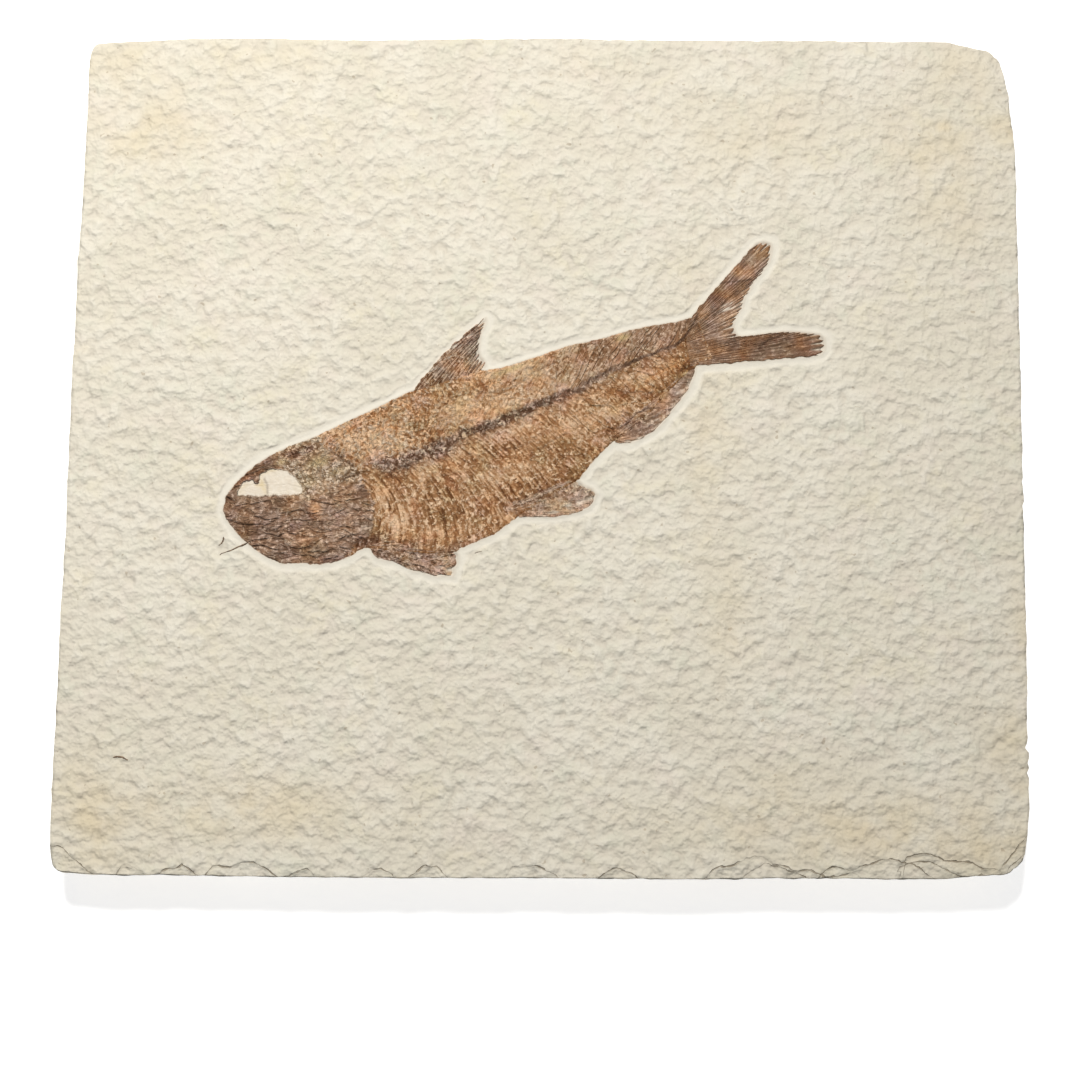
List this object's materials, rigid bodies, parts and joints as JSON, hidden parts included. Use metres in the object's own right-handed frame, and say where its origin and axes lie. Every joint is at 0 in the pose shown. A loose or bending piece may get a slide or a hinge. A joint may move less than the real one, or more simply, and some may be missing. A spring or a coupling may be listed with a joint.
{
  "type": "fossil fish slab",
  "caption": "Flat, hand-trimmed limestone plate that rests on its back, with a flattened fossil herring lying in a scraped hollow on its upper face.",
  "frame": {"origin": "under the middle of the plate, on its flat back", "axes": "+Z out of the fossil face, +X towards the side the tail points to, +Y towards the side the back fin points to"},
  "size_m": [0.194, 0.172, 0.0124],
  "materials": {
    "limestone": "matte, faintly stippled",
    "fossil_bone": "matte to slightly waxy",
    "dark_bone": "matte to slightly waxy"
  },
  "bodies": {
    "root": {"limestone_slab": "limestone", "fossil_fish": "fossil_bone", "jaw_bone_splinter": "dark_bone", "small_bone_splinter": "dark_bone"}
  },
  "joints": []
}
